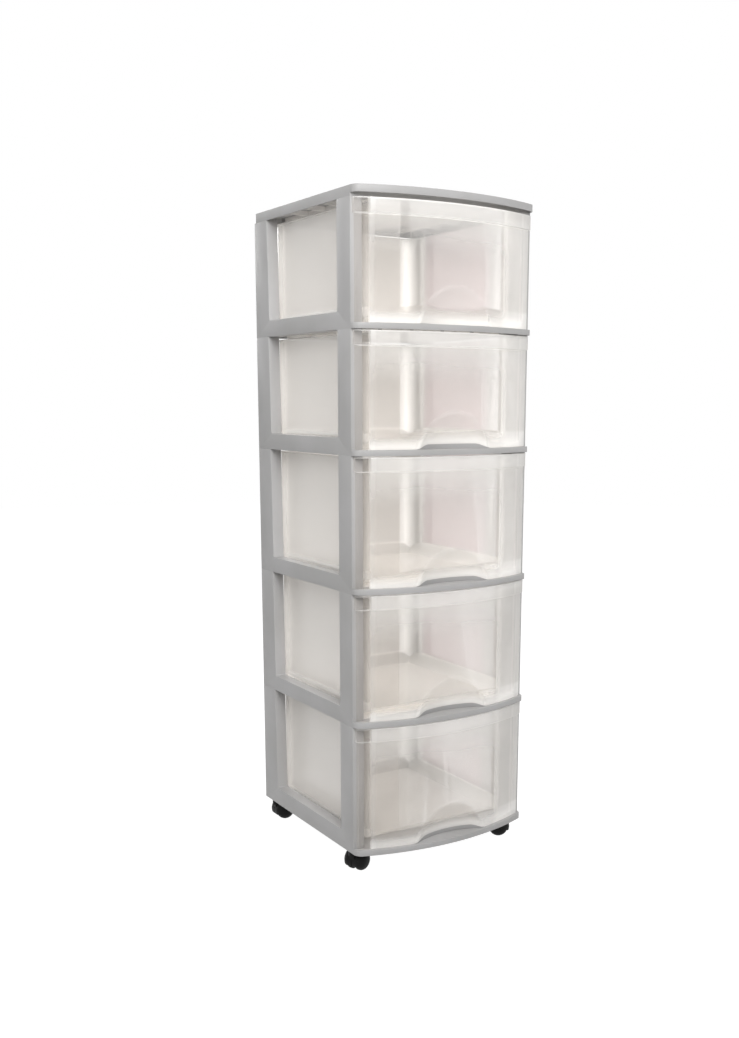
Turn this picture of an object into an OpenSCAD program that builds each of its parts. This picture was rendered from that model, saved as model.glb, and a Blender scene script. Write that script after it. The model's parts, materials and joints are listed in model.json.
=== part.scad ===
// Drawer tower on casters: five clear drawers in a stack of light grey side frames and decks.
// +Z up, the front faces -Y, +X to the right; the origin is on the floor, under the middle.

/* [Tower] */
// Overall width
body_w = 305; // [290:1:330]
// Overall depth, from the bow of the front lips to the back
body_d = 338; // [330:1:350]
// Overall height, casters included
body_h = 978; // [960:1:1010]
// Height of each of the two shallow tiers at the top
shallow_h = 172; // [165:1:176]
// Height of the frame's bottom edge above the floor
lift_h = 35; // [35:1:38]

/* [Front] */
// Radius of the bowed front edge
bow_r = 400; // [395:1:430]
// Radius of the front corners
corner_r = 14; // [12:1:16]
// Height of each deck's front lip
lip_h = 8; // [7:0.5:9]

/* [Side frames] */
// Depth of the side frames, front to back
side_d = 298; // [296:1:300]
// Thickness of the side frames, outside to inside
side_t = 18; // [17:0.5:19]
// Width of the front posts
front_post_w = 37; // [34:1:42]
// Width of the rear posts at their top
rear_post_w = 42; // [38:1:46]
// Height of the rail under each window
rail_h = 24; // [22:1:26]
// Height of the rail under the lowest window
base_rail_h = 28; // [26:1:30]

/* [Top panel] */
// Height of the skirt along the sides
skirt_h = 14; // [13:0.5:16]
// Height of the rim along the front
rim_h = 10; // [9:0.5:11]

/* [Drawers] */
// Half width of a drawer's tub
tub_hw = 130; // [124:0.5:131]
// Where the tub's back is, behind the posts' front face
tub_d = 284; // [255:1:288]
// Radius of the tub's front corners, where it leaves the bowed front
tub_front_r = 75; // [65:1:78]
// Radius of the tub's back corners
tub_back_r = 26; // [22:1:40]
// Height of the proud band along the top of the drawer's front
band_h = 20; // [16:1:24]
// How far a drawer slides out
travel = 190; // [150:5:195]

/* [Casters] */
// Radius of the wheels
wheel_r = 15.5; // [15:0.1:15.8]
// How far the wheels trail behind the swivel
trail = 12; // [11:0.5:12]

/* [Hidden] */
$fn = 64;
bow_fn = 240;
eps = 0.02;

tiers = 5;
shallow_tiers = 2;
frame_top = body_h - skirt_h;
deep_h = (frame_top - lift_h - shallow_tiers * shallow_h) / (tiers - shallow_tiers);

// Tiers are counted from the top: tier 1 is the highest
function tier_h(i) = i <= shallow_tiers ? shallow_h : deep_h;
function tier_z(i) = i == 0 ? frame_top : tier_z(i - 1) - tier_h(i);

wall = 2.4;
y_face = body_d / 2 - side_d;
y_back = body_d / 2;
y_apex = -body_d / 2;
side_x = body_w / 2;
inner_x = side_x - side_t;

// Bow and corner arcs meet in a tangent; every drawn-in outline shares their centres
bow_cy = y_apex + bow_r;
corner_cx = side_x - corner_r;
corner_cy = bow_cy - sqrt(pow(bow_r - corner_r, 2) - pow(corner_cx, 2));

// Side frames
post_flare = 4;
window_r = 3;
plug_h = 10;
plug_gap = 0.3;
cell_floor = 12;
// Side frames this high or higher have four hollow cells in each post, lower ones three
four_cell_h = 180;
rib_t = 2;

// Decks
plate_t = 2.4;
rib_pitch = 52;
stop_w = 44;
stop_drop = 9;
back_wall_h = 20;
stop_t = 3;
stop_gap = 0.5;
back_corner_r = 6;

// Drawers
skin = 2.2;
front_inset = 5;
band_inset = 2.4;
deck_gap = 0.4;
head_gap = 1.6;
rim_gap = 2.5;
ramp_y = y_face + 34;
ramp_rise = 28;
bevel_w = 14;
bevel_h = 17;
tub_cx = tub_hw - tub_front_r;
tub_bow_r = bow_r - front_inset;
// The tub's corner arcs cross the bow at a slight angle
tub_cross = 0.15;
tub_cy = bow_cy - sqrt(pow(tub_bow_r - tub_front_r + tub_cross, 2) - pow(tub_cx, 2));
scoop_r = 125;
scoop_out = 104;
scoop_down = 20;
flange_w = 3;

// The back wall of an open drawer comes up against the stop's back face
stop_y = y_face + tub_d - skin - travel - stop_gap - stop_t;

// Casters
running_fit = 0.05;
swivel_gap = 0.2;
caster_y = [y_face + front_post_w / 2, y_back - rear_post_w / 2];
// Turn of the casters: they trail inwards, the front ones inwards and back
caster_turn = [-65, -90];
socket_r = (side_t - wall) / 2;
caster_x = side_x - wall - socket_r;
socket_z = lift_h + 0.6;
socket_top = lift_h + 32;
bush_r = 5.6;
bush_flange_r = 7.4;
bush_z = socket_z - 1;
stem_r = 3.2;
stem_flange_r = 6;
stem_end_gap = 1;
stem_z = 26.5;
hood_z = 33.6;
collar_r = 7.5;
collar_z = 26;
axle_r = 2.5;
axle_reach = 6.5;
wheel_in = 5;
wheel_out = 17;
tread_w = 2.5;
dome_r = 13;
web_gap = 0.6;
web_inset = 2;
web_front = 5;
web_back = 2;
guard_gap = 0.8;
guard_wall = 1.5;
guard_turn = 110;

grey = [0.68, 0.68, 0.675];
clear = [0.86, 0.85, 0.83, 0.55];
black = [0.04, 0.04, 0.045];
steel = [0.7, 0.7, 0.72];

// Casters are named by row and side
rows = ["front", "rear"];
sides = ["left", "right"];

// ---- Plan outlines -------------------------------------------------------

// The tower's bowed front drawn in by inset, from the bow back to the line y = back
module bow_plan(inset, back) {
    tangent_x = (bow_r - inset) * corner_cx / (bow_r - corner_r);
    intersection() {
        union() {
            intersection() {
                translate([0, bow_cy]) circle(r = bow_r - inset, $fn = bow_fn);
                translate([-tangent_x, y_apex]) square([2 * tangent_x, body_d]);
            }
            for (s = [-1, 1])
                translate([s * corner_cx, corner_cy]) circle(r = corner_r - inset);
            translate([inset - side_x, corner_cy])
                square([body_w - 2 * inset, y_back - corner_cy]);
        }
        translate([-side_x, y_apex]) square([body_w, back - y_apex]);
    }
}

// A drawer's tub drawn in by w: the bowed front, large front corners, straight sides
module tub_plan(w) {
    tangent_x = (tub_bow_r - w) * tub_cx / (tub_bow_r - tub_front_r);
    far = y_face + tub_d;
    half_w = tub_hw - w;
    back_cx = tub_hw - tub_back_r;
    intersection() {
        translate([0, bow_cy]) circle(r = tub_bow_r - w, $fn = bow_fn);
        union() {
            translate([-tangent_x, y_apex - 1]) square([2 * tangent_x, tub_cy - y_apex + 2]);
            for (s = [-1, 1]) {
                translate([s * tub_cx, tub_cy]) circle(r = tub_front_r - w, $fn = 96);
                translate([s * back_cx, far - tub_back_r]) circle(r = tub_back_r - w);
            }
            translate([-half_w, tub_cy]) square([2 * half_w, far - tub_back_r - tub_cy]);
            translate([-back_cx, tub_cy]) square([2 * back_cx, far - w - tub_cy]);
        }
    }
}

// ---- Top panel and decks -------------------------------------------------

module top_panel() {
    color(grey) difference() {
        union() {
            translate([0, 0, body_h - plate_t]) linear_extrude(plate_t) bow_plan(0, y_back);
            translate([0, 0, body_h - rim_h]) linear_extrude(rim_h) difference() {
                bow_plan(0, y_face);
                bow_plan(wall, y_back);
            }
            translate([0, 0, frame_top]) linear_extrude(skirt_h) difference() {
                translate([-side_x, y_face]) square([body_w, side_d]);
                translate([wall - side_x, y_face + wall])
                    square([body_w - 2 * wall, side_d - 2 * wall]);
            }
            translate([0, 0, body_h - rim_h]) deck_ribs(rim_h - plate_t + eps, y_face);
            top_stop(frame_top - stop_drop, body_h - plate_t + eps);
        }
        // The back corners are rounded off
        for (s = [-1, 1])
            translate([s * side_x, y_back, frame_top - 1]) rotate([0, 0, s > 0 ? 180 : 270])
                linear_extrude(skirt_h + 2) corner_waste(back_corner_r);
    }
}

// What a rounding of radius r takes off a square corner at the origin
module corner_waste(r) {
    difference() {
        translate([-1, -1]) square(r + 1);
        translate([r, r]) circle(r = r);
    }
}

// Ribs under a plate, lengthways and crossways, between the side frames
module deck_ribs(h, near) {
    linear_extrude(h) {
        for (i = [-2:2])
            translate([i * rib_pitch - rib_t / 2, near])
                square([rib_t, y_back - near - wall + eps]);
        for (i = [1:4])
            translate([-inner_x, near + i * rib_pitch]) square([2 * inner_x, rib_t]);
    }
}

// The tab that the back of an open drawer comes up against
module top_stop(z0, z1) {
    translate([-stop_w / 2, stop_y, z0]) cube([stop_w, stop_t, z1 - z0]);
}

module deck(level, stop) {
    tongue_y0 = y_face + front_post_w + 3;
    tongue_y1 = y_back - rear_post_w - post_flare - 3;
    translate([0, 0, level]) {
        // Plate
        translate([0, 0, lip_h - plate_t]) linear_extrude(plate_t) {
            bow_plan(0, y_face);
            translate([-inner_x, y_face - eps]) square([2 * inner_x, side_d + eps]);
            translate([wall + plug_gap - side_x, tongue_y0])
                square([body_w - 2 * (wall + plug_gap), tongue_y1 - tongue_y0]);
        }
        // Front lip
        linear_extrude(lip_h) difference() {
            bow_plan(0, y_face);
            translate([0, wall]) bow_plan(wall, y_face - wall);
        }
        deck_ribs(lip_h - plate_t + eps, y_face - eps);
        // The tongues' feet stand in the side frames' bottom channels
        for (s = [-1, 1], y = [tongue_y0, (tongue_y0 + tongue_y1) / 2, tongue_y1 - rib_t])
            translate([s > 0 ? inner_x - eps : wall + plug_gap - side_x, y, wall])
                cube([side_t - wall - plug_gap + eps, rib_t, lip_h - wall - eps]);
        // Back wall
        translate([-inner_x, y_back - wall, 0]) cube([2 * inner_x, wall, back_wall_h]);
        if (stop) top_stop(-stop_drop, lip_h - plate_t + eps);
    }
}

// ---- Side frames ---------------------------------------------------------

// Side view of one frame without its channels: two posts and a rail, open at the top
module side_outline(h, rail) {
    difference() {
        translate([y_face, 0]) square([side_d, h]);
        window_outline(h + 1, rail, 0);
    }
}

// The window, grown by w towards the posts and the rail; it narrows towards the rail
module window_outline(top, rail, w) {
    y0 = y_face + front_post_w - w;
    y1 = y_back - rear_post_w + w;
    r = window_r + w;
    difference() {
        polygon([[y0, rail - w], [y1 - post_flare, rail - w], [y1, top], [y0, top]]);
        translate([y0, rail - w]) corner_waste(r);
        translate([y1 - post_flare, rail - w]) mirror([1, 0]) corner_waste(r);
    }
}

// The hollows that open to the inside, with ribs left standing between them
module side_hollows(h, rail) {
    cells = h >= four_cell_h ? 4 : 3;
    pitch = (h - cell_floor) / cells;
    difference() {
        union() {
            translate([y_face + wall, -1]) square([side_d - 2 * wall, cell_floor - rib_t + 1]);
            for (i = [0:cells - 1])
                translate([y_face + wall, cell_floor + i * pitch])
                    square([side_d - 2 * wall, pitch - rib_t]);
        }
        // The window and the wall round it
        window_outline(h + 1, rail, wall);
        // The rail's own floor between the posts
        translate([y_face + front_post_w - wall, -2])
            square([side_d - front_post_w - rear_post_w - post_flare + 2 * wall, wall + 2]);
        for (y = [y_face + front_post_w - wall, y_back - rear_post_w - post_flare])
            translate([y, -1]) square([wall, cell_floor]);
    }
}

// One side frame without sockets, drawn for the right-hand side with its outer face at x = side_x
module side_channel(level, h, rail) {
    translate([side_x, 0, level]) rotate([90, 0, 90]) mirror([0, 0, 1]) {
        difference() {
            linear_extrude(side_t) side_outline(h, rail);
            translate([0, 0, wall]) linear_extrude(side_t) side_hollows(h, rail);
        }
        // Plugs that stand up into the piece above
        for (p = [[y_face, front_post_w], [y_back - rear_post_w, rear_post_w]])
            translate([p[0] + wall + plug_gap, h - wall, wall + plug_gap]) difference() {
                cube([p[1] - 2 * (wall + plug_gap), plug_h + wall, side_t - wall - 2 * plug_gap]);
                translate([wall, -1, wall])
                    cube([p[1] - 2 * (wall + plug_gap) - 2 * wall, plug_h + 2 * wall, side_t]);
            }
    }
}

// The lowest frames have the casters' sockets in the feet of their posts
module side_frame(i) {
    color(grey) if (i < tiers) side_channel(tier_z(i), tier_h(i), rail_h);
    else difference() {
        union() {
            side_channel(tier_z(i), tier_h(i), base_rail_h);
            for (y = caster_y)
                translate([caster_x, y, socket_z]) cylinder(r = socket_r, h = socket_top - socket_z);
        }
        for (y = caster_y)
            translate([caster_x, y, lift_h - 1]) cylinder(r = bush_r, h = socket_top - wall - lift_h + 1);
    }
}

// ---- Drawers -------------------------------------------------------------

// The solid that the tub's walls enclose, drawn in by w; the walls are the difference
// of two of these
module tub_solid(h, w) {
    far = y_face + tub_d - w;
    intersection() {
        translate([0, 0, w]) linear_extrude(h - w) tub_plan(w);
        // Bevels along the sides
        rotate([90, 0, 0]) translate([0, 0, -body_d]) linear_extrude(2 * body_d) polygon([
            [w + bevel_w - tub_hw, w], [tub_hw - bevel_w - w, w], [tub_hw - w, w + bevel_h],
            [tub_hw - w, h], [w - tub_hw, h], [w - tub_hw, w + bevel_h]]);
        // Bevel along the back, and a ramp up to the front that leaves room for fingers
        rotate([90, 0, 90]) translate([0, 0, -body_w]) linear_extrude(2 * body_w) polygon([
            [ramp_y, w], [far - bevel_w, w], [far, w + bevel_h], [far, h],
            [y_apex, h], [y_apex, w + ramp_rise]]);
    }
}

module scoop_ball(r) {
    translate([0, y_apex + front_inset - scoop_out, -scoop_down]) sphere(r = r, $fn = 96);
}

// One drawer, its floor at z = 0
module drawer_body(h) {
    front_h = h - lip_h - deck_gap - head_gap;
    tub_h = front_h - rim_gap;
    difference() {
        union() {
            difference() {
                tub_solid(tub_h, 0);
                tub_solid(tub_h + 1, skin);
            }
            // Bowed front with its wings
            linear_extrude(front_h) difference() {
                bow_plan(front_inset, y_face - 1);
                bow_plan(front_inset + skin, y_back);
            }
            // Proud band, the pull of the drawer
            translate([0, 0, front_h - band_h]) linear_extrude(band_h) difference() {
                bow_plan(band_inset, y_face - 1);
                bow_plan(front_inset + eps, y_back);
            }
            // Flange round the rim, behind the posts' face
            translate([0, 0, tub_h - skin]) linear_extrude(skin) intersection() {
                difference() {
                    tub_plan(-flange_w);
                    tub_plan(eps);
                }
                translate([-body_w, y_face + 2]) square([2 * body_w, body_d]);
            }
        }
        scoop_ball(scoop_r);
    }
    // The finger scoop's own wall
    intersection() {
        difference() {
            scoop_ball(scoop_r + skin);
            scoop_ball(scoop_r);
        }
        linear_extrude(front_h) bow_plan(front_inset, y_face);
    }
}

module drawer(i) {
    color(clear) translate([0, 0, tier_z(i) + lip_h + deck_gap]) drawer_body(tier_h(i));
}

// ---- Casters -------------------------------------------------------------
// Drawn round the swivel, on the floor; the wheels trail behind it

module bush() {
    color(steel) translate([0, 0, bush_z]) difference() {
        union() {
            cylinder(r = bush_r, h = socket_top - wall - bush_z);
            cylinder(r = bush_flange_r, h = socket_z - bush_z);
        }
        translate([0, 0, -1]) cylinder(r = stem_r, h = body_h);
    }
}

module stem() {
    color(steel) {
        translate([0, 0, stem_z]) cylinder(r = stem_r, h = socket_top - wall - stem_end_gap - stem_z);
        translate([0, 0, hood_z + swivel_gap])
            cylinder(r = stem_flange_r, h = bush_z - hood_z - swivel_gap);
    }
}

// Half section of a wheel, from its inner face outwards, grown by w all round but inside
module wheel_section(w) {
    edge_x = wheel_in + tread_w;
    polygon(concat([[wheel_in, 0], [wheel_in, wheel_r + w]],
        [for (a = [0:10:90]) [
            edge_x + (wheel_out - edge_x + w) * sin(a),
            wheel_r - dome_r + (dome_r + w) * cos(a)]],
        [[wheel_out + w, 0]]));
}

// Turns a section about the axle, on side s of the web
module about_axle(s, from, turn) {
    translate([0, trail, wheel_r]) rotate([0, s * 90, 0]) rotate([0, 0, from])
        rotate_extrude(angle = turn) rotate([0, 0, 90]) mirror([0, 1]) children();
}

module caster_wheel(s) {
    color(black) difference() {
        about_axle(s, 0, 360) wheel_section(0);
        translate([0, trail, wheel_r]) rotate([0, s * 90, 0])
            translate([0, 0, wheel_in - 1]) cylinder(r = axle_r + running_fit, h = axle_reach + 1.5);
    }
}

module axle() {
    color(steel) translate([0, trail, wheel_r]) rotate([0, 90, 0])
        cylinder(r = axle_r, h = 2 * (wheel_in + axle_reach), center = true);
}

module hood() {
    color(black) difference() {
        union() {
            // Web between the wheels
            translate([web_gap - wheel_in, 0, 0])
                rotate([90, 0, 90]) linear_extrude(2 * (wheel_in - web_gap)) {
                    translate([trail, wheel_r]) circle(r = wheel_r - web_inset);
                    translate([-web_front, wheel_r])
                        square([web_front + trail + web_back, hood_z - wheel_r]);
                }
            // Guards over the upper front of the wheels
            for (s = [-1, 1]) {
                about_axle(s, s > 0 ? 180 : -guard_turn, guard_turn) difference() {
                    wheel_section(guard_gap + guard_wall);
                    wheel_section(guard_gap);
                }
                about_axle(s, s > 0 ? 180 : -guard_turn, guard_turn)
                    translate([web_gap, wheel_r + guard_gap]) square([wheel_in, guard_wall]);
            }
            // Collar round the stem, cut away where the wheels turn
            difference() {
                translate([0, 0, collar_z]) cylinder(r = collar_r, h = hood_z - collar_z);
                for (s = [-1, 1])
                    translate([0, trail, wheel_r]) rotate([0, s * 90, 0])
                        translate([0, 0, wheel_in - web_gap])
                            cylinder(r = wheel_r + guard_gap + guard_wall / 2, h = collar_r);
            }
        }
        translate([0, 0, stem_z - swivel_gap]) cylinder(r = stem_r + running_fit, h = body_h);
        translate([0, trail, wheel_r]) rotate([0, 90, 0])
            cylinder(r = axle_r, h = body_w, center = true);
    }
}

top_panel();
for (i = [1:tiers - 1])
    color(grey) deck(tier_z(i), true);
color(grey) deck(lift_h, false);  // base_deck
for (i = [1:tiers]) {
    mirror([1, 0, 0]) side_frame(i);
    side_frame(i);
    drawer(i);
}
for (r = [0, 1], s = [0, 1])
    translate([(s * 2 - 1) * caster_x, caster_y[r], 0]) rotate([0, 0, (1 - s * 2) * caster_turn[r]]) {
        name = str("caster_", rows[r], "_", sides[s]);
        bush();
        stem();
        hood();
        axle();
        caster_wheel(-1);
        caster_wheel(1);
    }
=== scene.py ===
import json
import math
from types import SimpleNamespace

import bpy
from mathutils import Matrix, Vector

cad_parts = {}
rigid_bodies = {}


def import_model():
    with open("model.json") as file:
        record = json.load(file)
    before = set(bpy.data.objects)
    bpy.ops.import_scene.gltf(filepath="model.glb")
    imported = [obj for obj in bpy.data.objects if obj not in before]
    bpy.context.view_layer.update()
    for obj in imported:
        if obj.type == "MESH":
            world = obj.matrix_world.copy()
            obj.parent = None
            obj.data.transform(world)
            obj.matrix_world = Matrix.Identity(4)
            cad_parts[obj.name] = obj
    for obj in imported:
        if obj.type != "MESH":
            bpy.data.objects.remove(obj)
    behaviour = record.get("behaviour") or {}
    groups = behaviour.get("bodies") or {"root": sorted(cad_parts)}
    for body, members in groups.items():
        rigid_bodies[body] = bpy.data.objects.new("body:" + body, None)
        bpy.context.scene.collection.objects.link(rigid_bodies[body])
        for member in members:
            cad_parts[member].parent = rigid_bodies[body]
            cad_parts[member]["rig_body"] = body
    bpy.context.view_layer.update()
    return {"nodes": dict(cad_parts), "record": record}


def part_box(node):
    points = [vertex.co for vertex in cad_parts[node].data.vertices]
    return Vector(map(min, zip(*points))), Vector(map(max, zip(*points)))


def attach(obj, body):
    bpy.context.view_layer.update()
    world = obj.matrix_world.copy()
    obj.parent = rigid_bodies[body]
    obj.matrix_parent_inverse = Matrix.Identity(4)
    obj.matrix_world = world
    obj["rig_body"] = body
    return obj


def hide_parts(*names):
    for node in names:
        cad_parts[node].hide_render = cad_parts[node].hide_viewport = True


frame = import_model()
nodes = frame["nodes"]
scene = bpy.context.scene
scene.cycles.transparent_max_bounces = 40   # many clear walls stand one behind another
print("frame loaded,", len(nodes), "nodes")


class Wire:
    # one socket of a finish, so that shader maths can be written as plain expressions
    def __init__(self, finish, socket):
        self.finish, self.socket = finish, socket

    def mathNode(self, operation, a, b=0.0):
        return self.finish.node("ShaderNodeMath", {"operation": operation}, {0: a, 1: b})

    def __add__(self, other):
        return self.mathNode("ADD", self, other)

    def __sub__(self, other):
        return self.mathNode("SUBTRACT", self, other)

    def __rsub__(self, other):
        return self.mathNode("SUBTRACT", other, self)

    def __mul__(self, other):
        return self.mathNode("MULTIPLY", self, other)

    def __pow__(self, other):
        return self.mathNode("POWER", self, other)

    def least(self, other):
        return self.mathNode("MINIMUM", self, other)

    def most(self, other):
        return self.mathNode("MAXIMUM", self, other)

    def size(self):
        return self.mathNode("ABSOLUTE", self)

    __radd__ = __add__
    __rmul__ = __mul__


class Finish:
    # the node tree of one material, or of the world
    lineCore = 0.4   # how much of a line's reach has its full strength

    def __init__(self, owner):
        self.owner = owner
        self.owner.use_nodes = True
        self.tree = self.owner.node_tree
        self.tree.nodes.clear()

    def node(self, kind, settings=None, sockets=None, out=0):
        # settings first, then values or links; out is one output, or several in a tuple
        made = self.tree.nodes.new(kind)
        for key, value in (settings or {}).items():
            setattr(made, key, value)
        for key, value in (sockets or {}).items():
            if isinstance(value, Wire):
                self.tree.links.new(value.socket, made.inputs[key])
            else:
                made.inputs[key].default_value = value
        if isinstance(out, tuple):
            return [Wire(self, made.outputs[key]) for key in out]
        return Wire(self, made.outputs[out]) if made.outputs else made

    def place(self):
        return self.node("ShaderNodeTexCoord", out="Object")

    def places(self):
        # across, depth and height of the spot, in metres
        return self.node("ShaderNodeSeparateXYZ", {}, {0: self.place()}, out=("X", "Y", "Z"))

    def noise(self, scale, detail=3.0, stretch=(1, 1, 1)):
        spot = self.node("ShaderNodeMapping", {}, {"Vector": self.place(), "Scale": stretch})
        return self.node("ShaderNodeTexNoise", {},
                         {"Vector": spot, "Scale": scale, "Detail": detail})

    def band(self, value, start, full):
        # 0 where value is at start, growing smoothly to 1 at full
        return self.node("ShaderNodeMapRange", {"interpolation_type": "SMOOTHSTEP"},
                         {"Value": value, "From Min": start, "From Max": full})

    def near(self, value, middle, reach):
        # 1 where value is at middle, 0 from reach away
        return self.band((value - middle).size(), reach, reach * self.lineCore)

    def blend(self, factor, a, b):
        return self.node("ShaderNodeMix", {"data_type": "RGBA"}, {0: factor, 6: a, 7: b}, out=2)

    def bump(self, height, distance):
        return self.node("ShaderNodeBump", {}, {"Height": height, "Distance": distance})

    def shader(self, **sockets):
        return self.node("ShaderNodeBsdfPrincipled", {}, sockets)

    def layered(self, factor, under, over):
        return self.node("ShaderNodeMixShader", {}, {0: factor, 1: under, 2: over})

    def close(self, surface, kind="ShaderNodeOutputMaterial"):
        self.node(kind, {}, {"Surface": surface})
        return self.owner


def colour(hexCode):
    # the linear colour of a hex code
    shares = [int(hexCode[i:i + 2], 16) / 255 for i in (0, 2, 4)]
    return [s / 12.92 if s <= 0.04045 else ((s + 0.055) / 1.055) ** 2.4 for s in shares] + [1.0]


white = (1, 1, 1, 1)

# the frame; the ribbed underside of a deck, between its posts, lip and back, is painted paler,
# painted light that lifts the shade under a deck
greyPlastic = {"light": "B1B0B0", "dark": "A8A7A6",
               "cloudScale": 9.0, "cloud": (0.3, 0.7),   # slow change of tone in the moulding
               "grainScale": 900.0, "grainDepth": 0.00006, "specular": 0.42,
               "roughness": 0.36, "roughnessMore": 0.12, "roughnessScale": 60.0,
               "under": "E6E4E1", "underDrop": (0.0030, 0.0034), "underSide": (0.1350, 0.1340),
               "underFront": (-0.124, -0.122), "underBack": (0.160, 0.158)}


def greyPlasticFinish(name, plate=None):
    # plate is the height of a deck's top
    f = Finish(bpy.data.materials.new(name))
    cloud = f.band(f.noise(greyPlastic["cloudScale"], detail=4.0), *greyPlastic["cloud"])
    base = f.blend(cloud, colour(greyPlastic["light"]), colour(greyPlastic["dark"]))
    if plate:
        across, depth, height = f.places()
        # painted light: below the plate's top the ribbed underside is painted a paler grey, lifting
        # the shade under a deck
        under = (f.band(plate - height, *greyPlastic["underDrop"])
                 * f.band(across.size(), *greyPlastic["underSide"])
                 * f.band(depth, *greyPlastic["underFront"])
                 * f.band(depth, *greyPlastic["underBack"]))
        base = f.blend(under, base, colour(greyPlastic["under"]))
    rough = (f.noise(greyPlastic["roughnessScale"]) * greyPlastic["roughnessMore"]
             + greyPlastic["roughness"])
    grain = f.noise(greyPlastic["grainScale"], detail=2.0)
    return f.close(f.shader(**{"Base Color": base, "Roughness": rough,
                               "Normal": f.bump(grain, greyPlastic["grainDepth"]),
                               "Specular IOR Level": greyPlastic["specular"]}))


# the drawers
clearPlastic = {"milk": "FDFCFA", "wall": "DFDDDA", "turn": "C9C5C3", "paintedPinkReflection": "EBD4DA",
                "clear": "FBFAF9",
                # how milky each part of the front is, from 0, clear, to 1, solid
                "front": 0.07, "streaks": 0.03, "band": 0.13, "strip": 0.62, "stripPower": 1.6,
                "glare": 0.28, "line": 0.36, "seam": 0.08, "scoop": 0.13, "bulge": 0.30,
                "wingAslant": 0.60, "aslant": (0.24, 0.38), "faint": 0.85,
                # and each part of the tub behind it
                "side": 0.52, "back": 0.80, "corner": 0.98, "skirting": 0.96,
                # more where a wall is seen aslant
                "rim": 0.34, "rimPower": 1.6, "rimLessOnWing": 0.7, "rimBehind": 0.5,
                # flow lines that run up the walls
                "streakScale": 14.0, "streakStretch": (1, 1, 0.12), "streakRange": (0.35, 0.65),
                # how high the deck shows in the finger scoop, in metres
                "hump": 0.0065, "topHump": 0.0008,
                # how much light soaks through the milk, and through a wall on its way from a lamp
                "through": 0.40, "throughBack": 0.25, "throughCorner": 0.70, "letsLight": 0.85,
                "roughness": 0.2, "roughnessMore": 0.1, "roughnessScale": 12.0,
                "gloss": 0.32, "glossRough": 0.24, "ior": 1.5}

# where the parts of a drawer are, in metres: each grows from its first place to its second
drawerPlaces = {"behind": (-0.128, -0.112), "back": (0.112, 0.130),             # depth
                "cornerDepth": (0.104, 0.128), "turnDepth": (-0.050, -0.075),
                "cornerSide": (0.098, 0.116), "humpSide": (0.066, 0.040),       # from the middle
                "wing": (0.1295, 0.1315),
                "faint": (-0.050, -0.085), "bulge": (0.080, 0.102),             # across
                "rightWall": (0.110, 0.122), "turnAcross": (0.085, 0.105),
                "pullBand": (0.0205, 0.0195), "glare": (0.080, 0.015),          # down from the top
                "strip": (0.022, 0.002), "skirting": (0.026, 0.020),            # up from the foot
                "crest": (0.0004, 0.0),
                "bandLine": (0.0205, 0.0014), "topLine": (0.0, 0.0024),         # middle and reach
                "seamLine": (0.1262, 0.0044),
                # the finger scoop is part of a ball, and the front part of an upright cylinder
                "scoopDepth": -0.268, "scoopDrop": 0.020, "offScoop": (0.1275, 0.1290),
                "bowCentre": 0.231, "bowInside": (0.3930, 0.3924)}


def drawerMasks(f, foot, top, hump):
    # 1 on each part of a drawer and 0 off it; foot and top are its lowest and highest point
    at = drawerPlaces
    across, depth, height = f.places()
    side, up, down = across.size(), height - foot, top - height
    rise = f.band(side, *at["humpSide"]) * hump
    bow = depth - at["bowCentre"]
    scoop = f.node("ShaderNodeVectorMath", {"operation": "DISTANCE"},
                   {0: f.place(), 1: (0, at["scoopDepth"], foot - at["scoopDrop"])}, out="Value")
    on = SimpleNamespace()

    # the tub: its back, its round rear corners, which carry a painted highlight, and the thick foot
    # of its walls, which with the floor is painted paler as painted light
    on.behind = f.band(depth, *at["behind"])
    on.back = f.band(depth, *at["back"])
    on.corner = f.band(side, *at["cornerSide"]) * f.band(depth, *at["cornerDepth"])
    on.skirting = f.band(up, *at["skirting"])
    # the right wall, which carries a painted pink reflection
    on.rightWall = f.band(across, *at["rightWall"]) * on.behind * (1 - on.back)
    on.turn = f.band(across, *at["turnAcross"]) * f.band(depth, *at["turnDepth"]) * on.behind

    # the front: its pull band, thin milky lines along the band's edges that are painted highlights,
    # milky foot and wings, which stand in front of the posts
    on.ahead = 1 - on.behind
    on.pullBand = f.band(down, *at["pullBand"])
    on.lines = f.near(down, *at["bandLine"]) + f.near(down, *at["topLine"])
    on.seam = f.near(side, *at["seamLine"])
    on.glare = f.band(down, *at["glare"])         # a pale haze in the upper half
    on.strip = f.band(up - rise, *at["strip"])
    on.wing = f.band(side, *at["wing"])

    # the wall beside the scoop, the grey hump in it, the right end of the front made milkier as a
    # painted highlight, the left one's inside
    on.plainWall = f.band(scoop, *at["offScoop"])
    on.crest = f.band(up - rise, *at["crest"]) * on.ahead * (1 - on.plainWall)
    on.bulge = f.band(across, *at["bulge"]) * on.ahead
    inside = f.band((across * across + bow * bow) ** 0.5, *at["bowInside"])
    on.faint = f.band(across, *at["faint"]) * inside * on.ahead * clearPlastic["faint"]
    return on


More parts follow.
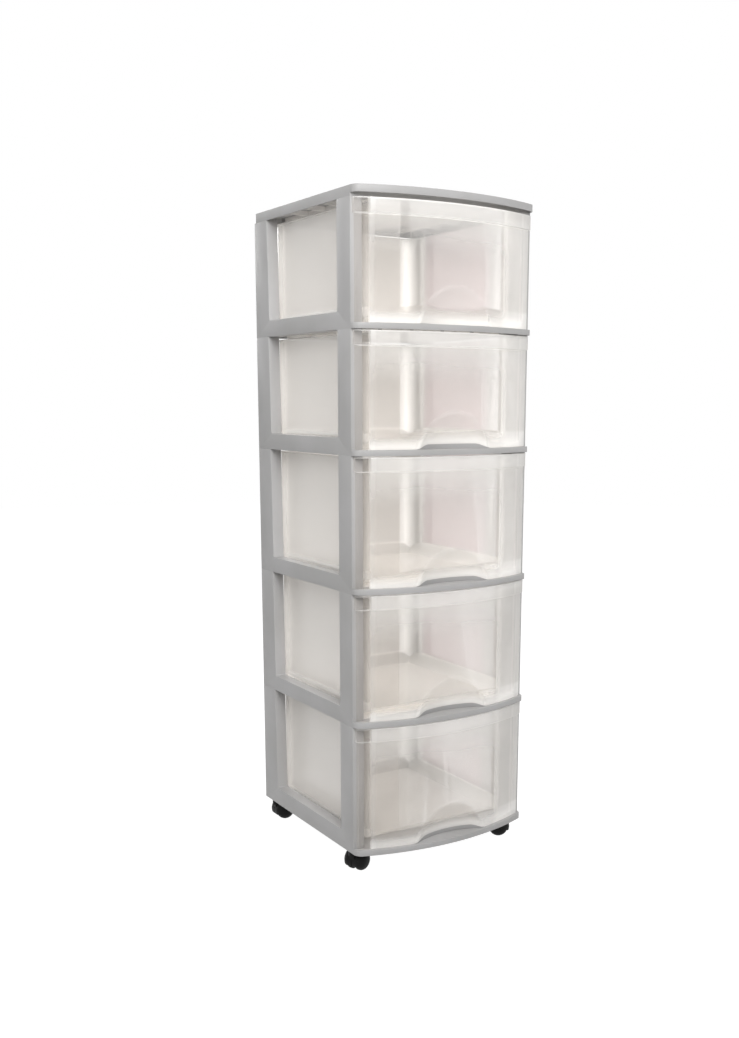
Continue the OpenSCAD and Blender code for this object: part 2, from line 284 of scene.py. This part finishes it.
def milkiness(f, on):
    look = clearPlastic
    facing = f.node("ShaderNodeLayerWeight", {}, {"Blend": 0.5}, out="Facing")
    streaks = f.band(f.noise(look["streakScale"], stretch=look["streakStretch"]),
                     *look["streakRange"])
    rim = facing ** look["rimPower"] * look["rim"] * (1 - on.wing * look["rimLessOnWing"])
    tub = look["side"] + on.back * (look["back"] - look["side"])
    # the near-solid milk of the round rear corners is partly a painted highlight
    tub = tub.most(on.corner * look["corner"]).most(on.skirting * look["skirting"])
    face = (on.pullBand * look["band"] + on.strip ** look["stripPower"] * look["strip"]
            + on.glare * look["glare"] + look["front"])
    front = (face * (1 - on.wing) + f.band(facing, *look["aslant"]) * on.wing * look["wingAslant"]
             # on.lines are painted highlights, milky lines along the pull band's edges
             + streaks * look["streaks"] + on.lines * look["line"] + on.seam * look["seam"]
             # on.bulge is a painted highlight, extra milk on the right end of the front
             + rim * on.plainWall + (1 - on.plainWall) * look["scoop"] + on.bulge * look["bulge"])
    veil = (on.behind * (tub + rim * look["rimBehind"]) + on.ahead * (1 - on.faint) * front
            + on.crest)
    return veil.least(1.0)


def milkColour(f, on):
    look = clearPlastic
    # painted reflection: the tub's right wall is tinted pink
    wall = f.blend(on.rightWall, colour(look["wall"]), colour(look["paintedPinkReflection"]))
    wall = f.blend(on.turn, wall, colour(look["turn"]))   # the side turning in to the front
    # painted light and painted highlight: the floor with the foot of the tub walls, and the round
    # rear corners, keep the paler milk colour instead of the wall colour
    walls = (on.behind + on.bulge * (1 - on.skirting)) * (1 - on.skirting * on.behind)
    milk = f.blend(walls * (1 - on.corner), colour(look["milk"]), wall)
    return f.blend(on.crest, milk, colour(greyPlastic["light"]))


def clearPlasticFinish(name, foot, top, hump):
    # see-through in front, with a milky pull band, foot and seams, and milkier behind
    f = Finish(bpy.data.materials.new(name))
    look = clearPlastic
    on = drawerMasks(f, foot, top, hump)
    lampRay = f.node("ShaderNodeLightPath", out="Is Shadow Ray")
    veil = milkiness(f, on) * (1 - lampRay * look["letsLight"])
    rough = f.noise(look["roughnessScale"], detail=2.0) * look["roughnessMore"] + look["roughness"]
    skin = f.shader(**{"Base Color": milkColour(f, on), "Roughness": rough})
    glow = f.node("ShaderNodeBsdfTranslucent", {}, {"Color": colour(look["milk"])})
    through = (look["through"] + on.back * (look["throughBack"] - look["through"])
               + on.corner * (look["throughCorner"] - look["throughBack"])) * (1 - on.crest)
    opening = f.node("ShaderNodeBsdfTransparent", {}, {"Color": colour(look["clear"])})
    wall = f.layered(veil, opening, f.layered(through, skin, glow))
    shine = f.node("ShaderNodeBsdfGlossy", {}, {"Color": white, "Roughness": look["glossRough"]})
    mirror = (f.node("ShaderNodeFresnel", {}, {"IOR": look["ior"]}) * look["gloss"] * (1 - lampRay)
              * on.plainWall * (1 - on.faint))
    return f.close(f.layered(mirror, wall, shine))


blackPlastic = {"light": "070707", "dark": "040404", "cloudScale": 120.0, "specular": 0.15,
                "grainScale": 1500.0, "grainDepth": 0.00004,
                "hoodRough": 0.4, "wheelRough": 0.48,
                "roughnessMore": 0.15, "roughnessScale": 300.0}


def blackPlasticFinish(name, roughness):
    f = Finish(bpy.data.materials.new(name))
    base = f.blend(f.noise(blackPlastic["cloudScale"]), colour(blackPlastic["light"]),
                   colour(blackPlastic["dark"]))
    rough = (f.noise(blackPlastic["roughnessScale"], detail=2.0) * blackPlastic["roughnessMore"]
             + roughness)
    grain = f.noise(blackPlastic["grainScale"])
    return f.close(f.shader(**{"Base Color": base, "Roughness": rough,
                               "Normal": f.bump(grain, blackPlastic["grainDepth"]),
                               "Specular IOR Level": blackPlastic["specular"]}))


steel = {"light": "B9BABC", "dark": "94959A", "brushScale": 700.0, "brushStretch": (1, 1, 0.05),
         "roughness": 0.3, "roughnessMore": 0.15}


def steelFinish(name):
    f = Finish(bpy.data.materials.new(name))
    brushed = f.noise(steel["brushScale"], stretch=steel["brushStretch"])
    base = f.blend(brushed, colour(steel["light"]), colour(steel["dark"]))
    return f.close(f.shader(**{"Base Color": base, "Metallic": 1.0,
                               "Roughness": brushed * steel["roughnessMore"] + steel["roughness"]}))


slotFinish = {"frame_grey": greyPlasticFinish("frameGrey"),
              "caster_hood": blackPlasticFinish("hoodBlack", blackPlastic["hoodRough"]),
              "caster_wheel": blackPlasticFinish("wheelBlack", blackPlastic["wheelRough"]),
              "caster_steel": steelFinish("platedSteel")}
slotOf = {s["node"]: s["material_slot"] for s in frame["record"]["subparts"]}


def finishOf(name):
    # a drawer's plastic knows where its foot and top are, and a deck's grey where its plate is
    made = bpy.data.materials.get(name + "_finish")
    if made:
        return made
    low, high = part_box(name)
    if slotOf[name] == "drawer_clear":
        hump = clearPlastic["topHump" if name == "drawer_1" else "hump"]
        return clearPlasticFinish(name + "_finish", low[2], high[2], hump)
    if name.startswith("deck") or name == "top_panel":
        return greyPlasticFinish(name + "_finish", high[2])
    return slotFinish[slotOf[name]]


def dress(obj, finish):
    obj.data.materials.clear()
    obj.data.materials.append(finish)


for name, node in nodes.items():
    dress(node, finishOf(name))
print("finishes made")


def deselect():
    for obj in list(bpy.context.selected_objects):
        obj.select_set(False)


def pick(obj):
    deselect()
    obj.select_set(True)
    bpy.context.view_layer.objects.active = obj


# a rounding's width for each slot, in metres; angles in degrees
softEdges = {"width": {"frame_grey": 0.0009, "drawer_clear": 0.0006}, "segments": 2,
             "weld": 0.00001, "flatWithin": 0.6, "roundOver": 32, "smoothUnder": 35}


def softened(name, width):
    # a copy of a solid, its loose triangles joined and flattened, its edges rounded
    node = nodes[name]
    piece = bpy.data.objects.new(name + "_moulded", node.data.copy())
    scene.collection.objects.link(piece)
    pick(piece)
    bpy.ops.object.mode_set(mode="EDIT")
    bpy.ops.mesh.select_all(action="SELECT")
    bpy.ops.mesh.remove_doubles(threshold=softEdges["weld"])
    bpy.ops.mesh.dissolve_limited(angle_limit=math.radians(softEdges["flatWithin"]))
    bpy.ops.object.mode_set(mode="OBJECT")
    bevel = piece.modifiers.new("soft", "BEVEL")
    bevel.width, bevel.segments = width, softEdges["segments"]
    bevel.limit_method, bevel.angle_limit = "ANGLE", math.radians(softEdges["roundOver"])
    bpy.ops.object.modifier_apply(modifier="soft")
    bpy.ops.object.shade_smooth_by_angle(angle=math.radians(softEdges["smoothUnder"]))
    dress(piece, finishOf(name))
    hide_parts(name)
    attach(piece, node["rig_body"])


for name in sorted(nodes):
    if slotOf[name] in softEdges["width"]:
        softened(name, softEdges["width"][slotOf[name]])
print("frame and drawers softened")


# shadow is how much of the object's shadow shows on the floor, and floorWhite keeps the rest white
room = {"world": 0.345, "floorColour": "C8C8C8", "floorRough": 0.9, "floorReach": 6,
        "floorSides": 96, "floorWhite": 1.42, "shadow": 0.3}


def seenWhite(f):
    # 1 for rays from the eye, off shiny faces and through clear ones, which all meet a white room
    eyeRay, shinyRay, clearRay = f.node(
        "ShaderNodeLightPath", out=("Is Camera Ray", "Is Glossy Ray", "Is Transmission Ray"))
    return eyeRay.most(shinyRay).most(clearRay)


def makeWorld():
    world = bpy.data.worlds.new("studio")
    scene.world = world
    f = Finish(world)
    soft = f.node("ShaderNodeBackground", {}, {"Color": white, "Strength": room["world"]})
    bright = f.node("ShaderNodeBackground", {}, {"Color": white, "Strength": 1.0})
    f.close(f.layered(seenWhite(f), soft, bright), "ShaderNodeOutputWorld")


def makeFloor():
    deselect()
    bpy.ops.mesh.primitive_circle_add(vertices=room["floorSides"], radius=room["floorReach"],
                                      fill_type="NGON", location=(0, 0, 0))
    floor = bpy.context.object
    floor.name = "floor"
    f = Finish(bpy.data.materials.new("whiteFloor"))
    plain = f.shader(**{"Base Color": colour(room["floorColour"]), "Roughness": room["floorRough"],
                        "Specular IOR Level": 0.0})
    bright = f.node("ShaderNodeEmission", {}, {"Color": white, "Strength": room["floorWhite"]})
    dress(floor, f.close(f.layered(seenWhite(f) * (1 - room["shadow"]), plain, bright)))


# metres and watts: a large soft key high at the front left, a weak one low at the right, one behind
lamps = {"keyLamp": {"place": (-0.81, -1.35, 1.58), "target": (0, 0, 0.95),
                     "size": (1.4, 1.0), "watts": 31},
         "sideLamp": {"place": (1.7, -0.7, 0.6), "target": (0.1, -0.1, 0.35),
                      "size": (0.9, 1.0), "watts": 4},
         "backLamp": {"place": (0.15, 1.35, 1.45), "target": (0.05, 0.1, 0.85),
                      "size": (0.9, 1.1), "watts": 17}}


def addLamp(name, lamp):
    data = bpy.data.lights.new(name, "AREA")
    data.shape = "RECTANGLE"
    data.size, data.size_y = lamp["size"]
    data.energy = lamp["watts"]
    made = bpy.data.objects.new(name, data)
    scene.collection.objects.link(made)
    made.location = lamp["place"]
    made.rotation_mode = "QUATERNION"
    towards = Vector(lamp["target"]) - Vector(lamp["place"])
    made.rotation_quaternion = towards.to_track_quat("-Z", "Y")


makeWorld()
makeFloor()
for name, lamp in lamps.items():
    addLamp(name, lamp)

# metres, but the roll in degrees, and the lens and its sensor in millimetres
eye = {"place": (-0.9294, -1.4923, 0.6965), "target": (-0.0792, -0.1686, 0.4053), "roll": 0.23,
       "lens": 38.95, "sensor": 36, "shift": (-0.0397, 0.0858), "clip": (0.05, 50)}


def makeCamera():
    data = bpy.data.cameras.new("camera")
    camera = bpy.data.objects.new("camera", data)
    scene.collection.objects.link(camera)
    towards = Vector(eye["target"]) - Vector(eye["place"])
    camera.matrix_world = (Matrix.Translation(eye["place"])
                           @ towards.to_track_quat("-Z", "Y").to_matrix().to_4x4()
                           @ Matrix.Rotation(math.radians(eye["roll"]), 4, "Z"))
    data.sensor_width, data.lens = eye["sensor"], eye["lens"]
    data.shift_x, data.shift_y = eye["shift"]
    data.clip_start, data.clip_end = eye["clip"]
    scene.camera = camera


makeCamera()
scene.view_settings.view_transform = "Standard"
print("floor, light and camera placed")
